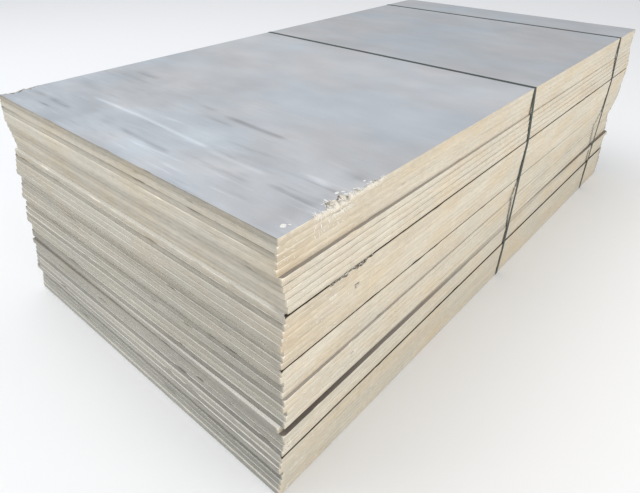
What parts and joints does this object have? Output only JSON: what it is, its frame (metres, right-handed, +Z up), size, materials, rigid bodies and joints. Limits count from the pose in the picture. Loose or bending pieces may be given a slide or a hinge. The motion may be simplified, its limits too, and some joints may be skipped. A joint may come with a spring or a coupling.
{
  "type": "strapped pack of mdf boards",
  "caption": "Pack of plain medium density fibreboards laid flat in slightly slipped lifts and tied across its width with flat green straps.",
  "frame": {"origin": "on the floor under the middle of the pack's bounding box", "axes": "+X along the boards' length, away from the near short end; +Y across their width, away from the front long side; +Z up"},
  "size_m": [2.4698, 1.251, 0.7504],
  "materials": {
    "fibreboard": "matte",
    "strap": "satin"
  },
  "bodies": {
    "root": {"lift_1": "fibreboard", "lift_2": "fibreboard", "lift_3": "fibreboard", "lift_4": "fibreboard", "lift_5": "fibreboard", "lift_6": "fibreboard", "lift_7": "fibreboard", "lift_8": "fibreboard", "strap_middle": "strap", "strap_end": "strap"}
  },
  "joints": []
}
